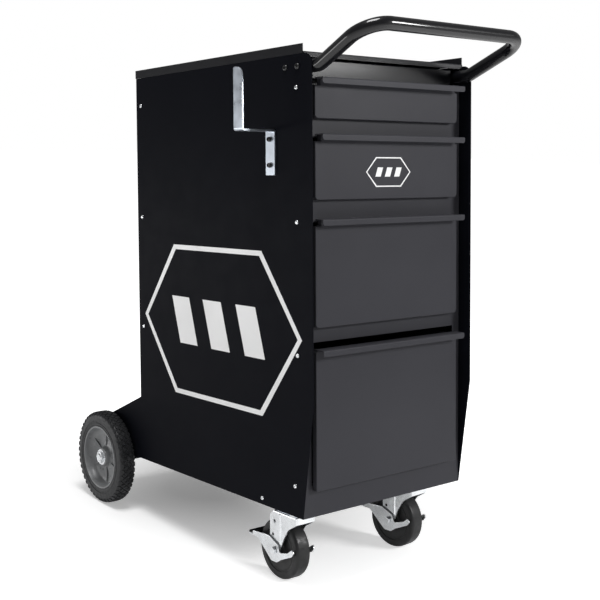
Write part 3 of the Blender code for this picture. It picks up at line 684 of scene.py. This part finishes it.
RACE_PROFILE = [(0, -2.8), (27.5, -2.8), (27.5, -5.5), (26.6, -7.0), (25.6, -9.0), (25.0, -13.4),
                (24.0, -14.0), (0, -14.0)]
CUP_PROFILE = [(0, -14.4), (20.0, -14.4), (20.0, -17.6), (18.0, -19.8), (14.0, -21.2), (0, -21.4)]
PIN_PROFILE = [(0, -31.6), (3.4, -31.6), (4.0, -31.0), (4.0, 31.0), (3.4, 31.6), (0, 31.6)]
PLATE_HALF, PLATE_BOLTS = (33.5, 46), (24, 36.5)
LEG_X, STRAP = 21.0, 3.0
PAD_HALF, PAD_BACK = 25.8, 82


def rectangle(half_a, low, high):
    return [(-half_a, low), (half_a, low), (half_a, high), (-half_a, high)]


def bolt_head(radius, height):
    return plate(circle(0, 0, radius, 6), "XY", -height, 0, edge=0.5)


def caster(side, sign):
    name = f"caster_{side}"
    swivel, rolling, pedal_body = f"{name}_swivel", f"{name}_wheel", f"{name}_brake"
    fixed = at(sign * CASTER_X, CASTER_Y, 0)
    axis = JOINTS[f"{name}_spin"]["axis"]
    yaw = atan2(axis[1] / cos(LEAN), axis[0]) if abs(axis[1]) > 1e-6 else 0.0
    turned_frame = fixed @ Matrix.Rotation(yaw, 4, "Z")
    hub = turned_frame @ Matrix.Translation(Vector((0, TRAIL, CASTER_Z)) * MM)

    outline = rounded(rectangle(PLATE_HALF[0], -PLATE_HALF[1], PLATE_HALF[1]), 5, closed=True)
    top = plate(outline, "XY", -3.3, -0.3, edge=0.4)
    race = lathe(RACE_PROFILE, 64, ring=False, axis="Z")
    bolts = []
    for x in (-PLATE_BOLTS[0], PLATE_BOLTS[0]):
        for y in (-PLATE_BOLTS[1], PLATE_BOLTS[1]):
            head = bolt_head(6.6, 4.6)
            head.transform(Matrix.Translation(Vector((x, y, -3.2)) * MM))
            bolts.append(head)
    piece(f"{name}_mounting", joined(top, race, *bolts), ZINC, "cart", fixed, [f"{name}_plate"])

    # The fork is one bent strap, trimmed to the outline of its legs
    strap = rounded([(-LEG_X, -108), (-LEG_X, -16.3), (LEG_X, -16.3), (LEG_X, -108)], 5.5)
    bent = folded(strap, "XZ", -30, 50, STRAP)
    side_view = rounded(*LEG_OUTLINE, closed=True)
    leg_holes = [circle(TRAIL, CASTER_Z, 4.3), circle(36, -38, 3.4), circle(41, -64, 3.0)]
    trim = plate(side_view, "YZ", -30, 30, leg_holes, edge=0.01)
    fork = softened(boolean(bent, "INTERSECT", trim), 0.4)
    cup = lathe(CUP_PROFILE, 48, ring=False, axis="Z")
    lip_path = rounded([(-10, -15.8), (-25.5, -15.8), (-25.5, -32.0)], 5)
    lip = folded(lip_path, "YZ", -22.4, 22.4, STRAP)
    ribs = []
    for hand in (-1, 1):
        rib = rounded([(hand * 22.2, 16), (hand * 25.0, 19.0), (hand * 22.2, 22)], 1.2)
        ribs.append(softened(plate(rib, "XY", -78, -22, edge=0.2), 0.3))
    fork = joined(fork, cup, lip, *ribs)
    piece(f"{name}_bent_fork", fork, ZINC_BRIGHT, swivel, turned_frame, [f"{name}_fork"])

    heads = []
    for hand in (-1, 1):
        head = bolt_head(7.4, 5.0)
        head.transform(Matrix.Rotation(-hand * pi / 2, 4, "Y"))
        head.transform(Matrix.Translation(Vector((hand * 26.9, 0, 0)) * MM))
        heads.append(head)
    pin = lathe(PIN_PROFILE, 32, ring=False)
    piece(f"{name}_axle_bolt", joined(pin, *heads), ZINC_BRIGHT, swivel, hub, [f"{name}_bolt"])
    wheel = lathe(WHEEL_PROFILE, 96)
    piece(f"{name}_tread", wheel, WHEEL_RUBBER, rolling, hub, [f"{name}_wheel"])

    lever_view = rounded(*LEVER_OUTLINE, closed=True)
    lever_view = [(y - TRAIL, z - CASTER_Z) for y, z in lever_view]
    plates = []
    for hand in (-1, 1):
        low, high = sorted((hand * 26.1, hand * 23.5))
        plates.append(plate(lever_view, "YZ", low, high, [circle(0, 0, 4.3)], edge=0.4))
    pad_outline = rounded(rectangle(PAD_HALF, 58.5, PAD_BACK), 4, closed=True)
    pad = plate(pad_outline, "XY", 12.4, 14.6, edge=0.4)
    piece(f"{name}_lever", joined(*plates, pad), ZINC_BRIGHT, pedal_body, hub, [f"{name}_brake"])
    cap_outline = rounded(rectangle(PAD_HALF, 60, PAD_BACK), 5, closed=True)
    cap = plate(cap_outline, "XY", 14.8, 18.0, edge=1.0)
    piece(f"{name}_pedal_cap", cap, CAP_RUBBER, pedal_body, hub)


# ------------------------------------------------------------ painted graphic
PAINT_LOW, PAINT_HIGH = 0.05, 0.30
# Each mark has a middle, and a half width, a half height and a stroke
PANEL_MARK, PANEL_MARK_SIZE = (262, 318), (262, 152, 9.5)
DRAWER_MARK, DRAWER_MARK_SIZE = (-3.5, 611.5), (56, 27, 2.2)


def emblem(plane, middle, half_wide, half_high, stroke, levels):
    """A plain mark: three slanted bars in a six-sided ring."""
    (a0, b0), (low, high) = middle, levels
    corners = ((-1, 0), (-0.56, -1), (0.56, -1), (1, 0), (0.56, 1), (-0.56, 1))
    ring = [(a0 + half_wide * a, b0 + half_high * b) for a, b in corners]
    inner = [(a0 + (half_wide - 1.25 * stroke) * a, b0 + (half_high - stroke) * b) for a, b in corners]
    meshes = [plate(ring, plane, low, high, [inner], edge=0.02)]
    bar_wide, bar_step, bar_high = half_wide * 0.235, half_wide * 0.42, half_high * 0.31
    lean = half_wide * 0.11
    for k in (-1, 0, 1):
        left = a0 + k * bar_step - bar_wide / 2
        bar = [(left - lean / 2, b0 - bar_high), (left + bar_wide - lean / 2, b0 - bar_high),
               (left + bar_wide + lean / 2, b0 + bar_high), (left + lean / 2, b0 + bar_high)]
        meshes.append(plate(bar, plane, low, high, edge=0.02))
    return joined(*meshes)


def graphics():
    side = emblem("YZ", PANEL_MARK, *PANEL_MARK_SIZE, (-PANEL - PAINT_HIGH, -PANEL - PAINT_LOW))
    piece("panel_graphic", side, GRAPHIC, "cart")
    front = emblem("XZ", DRAWER_MARK, *DRAWER_MARK_SIZE, (FRONT_FACE - PAINT_HIGH, FRONT_FACE - PAINT_LOW))
    piece("drawer_graphic", front, GRAPHIC, "drawer_2")


# ------------------------------------------------------------ stage, light and camera
def stage():
    """A white floor with a painted shadow: its glow is painted dimmer near the cart and grows outwards until
    it meets the background without an edge.
    """
    bpy.ops.mesh.primitive_plane_add(size=60, location=(0.05, 0.3, 0))
    floor = bpy.context.object
    floor.name = "floor"
    material = bpy.data.materials.new("floor_white")
    material.use_nodes = True
    nodes, links = material.node_tree.nodes, material.node_tree.links
    shader = nodes["Principled BSDF"]
    shader.inputs["Base Color"].default_value = (0.92, 0.92, 0.92, 1)
    shader.inputs["Roughness"].default_value = 0.9
    shader.inputs["Specular IOR Level"].default_value = 0.1
    shader.inputs["Emission Color"].default_value = (1, 1, 1, 1)
    place = nodes.new("ShaderNodeTexCoord").outputs["Object"]
    distance = nodes.new("ShaderNodeVectorMath")
    distance.operation = "LENGTH"
    links.new(place, distance.inputs[0])
    # Painted shadow round the cart: the floor's glow is dimmest near its middle under the cart and reaches
    # full white a metre out.
    painted_floor_shadow = nodes.new("ShaderNodeMapRange")
    for name, value in (("From Min", 0.1), ("From Max", 1.0), ("To Min", 0.22), ("To Max", 1.0)):
        painted_floor_shadow.inputs[name].default_value = value
    links.new(distance.outputs["Value"], painted_floor_shadow.inputs["Value"])
    seen = nodes.new("ShaderNodeMapRange")
    seen.inputs["To Min"].default_value = 0.35
    links.new(nodes.new("ShaderNodeLightPath").outputs["Is Camera Ray"], seen.inputs["Value"])
    strength = nodes.new("ShaderNodeMath")
    strength.operation = "MULTIPLY"
    links.new(painted_floor_shadow.outputs["Result"], strength.inputs[0])
    links.new(seen.outputs["Result"], strength.inputs[1])
    links.new(strength.outputs["Value"], shader.inputs["Emission Strength"])
    floor.data.materials.append(material)


def area_light(name, place, target, size, power):
    data = bpy.data.lights.new(name, "AREA")
    data.shape = "RECTANGLE"
    data.size, data.size_y = size
    data.energy = power
    obj = bpy.data.objects.new(name, data)
    bpy.context.scene.collection.objects.link(obj)
    obj.location = place
    obj.rotation_euler = (Vector(target) - Vector(place)).to_track_quat("-Z", "Y").to_euler()


def lights():
    """Dim white surroundings that the camera sees as pure white, and three softboxes."""
    world = bpy.data.worlds.new("studio")
    world.use_nodes = True
    nodes, links = world.node_tree.nodes, world.node_tree.links
    ambient = nodes["Background"]
    ambient.inputs["Color"].default_value = (1, 1, 1, 1)
    ambient.inputs["Strength"].default_value = 0.20
    backdrop = nodes.new("ShaderNodeBackground")
    backdrop.inputs["Color"].default_value = (1, 1, 1, 1)
    mix = nodes.new("ShaderNodeMixShader")
    links.new(nodes.new("ShaderNodeLightPath").outputs["Is Camera Ray"], mix.inputs["Fac"])
    links.new(ambient.outputs["Background"], mix.inputs[1])
    links.new(backdrop.outputs["Background"], mix.inputs[2])
    links.new(mix.outputs["Shader"], nodes["World Output"].inputs["Surface"])
    bpy.context.scene.world = world
    area_light("overhead", (-0.6, -0.5, 3.2), (0, 0, 0.6), (1.1, 1.1), 58)
    area_light("key", (1.68, -2.70, 1.70), (0, -0.1, 0.7), (0.9, 0.6), 66)
    area_light("rear_left", (-2.3, 2.3, 0.24), (-0.1, 0.1, 0.1), (2.2, 0.4), 13)
    bpy.context.scene.view_settings.view_transform = "Standard"


def camera():
    yaw, rise, roll = radians(-37.281), radians(3.567), radians(-0.463)
    back = Vector((sin(yaw) * cos(rise), -cos(yaw) * cos(rise), sin(rise)))
    right = Vector((0, 0, 1)).cross(back).normalized()
    up = back.cross(right)
    across = right * cos(roll) + up * sin(roll)
    upward = up * cos(roll) - right * sin(roll)
    matrix = Matrix((across, upward, back)).transposed().to_4x4()
    matrix.translation = Vector((-1384.8, -1440.1, 595.3)) * MM
    data = bpy.data.cameras.new("camera")
    data.sensor_width = 36
    data.lens = 64.58
    data.shift_x = 0.065
    data.shift_y = -0.085
    data.clip_end = 100
    obj = bpy.data.objects.new("camera", data)
    bpy.context.scene.collection.objects.link(obj)
    obj.matrix_world = CART @ matrix
    bpy.context.scene.camera = obj


cabinet()
screws()
handle()
hook()
rear_wheels()
caster("left", -1)
caster("right", 1)
graphics()
stage()
lights()
camera()
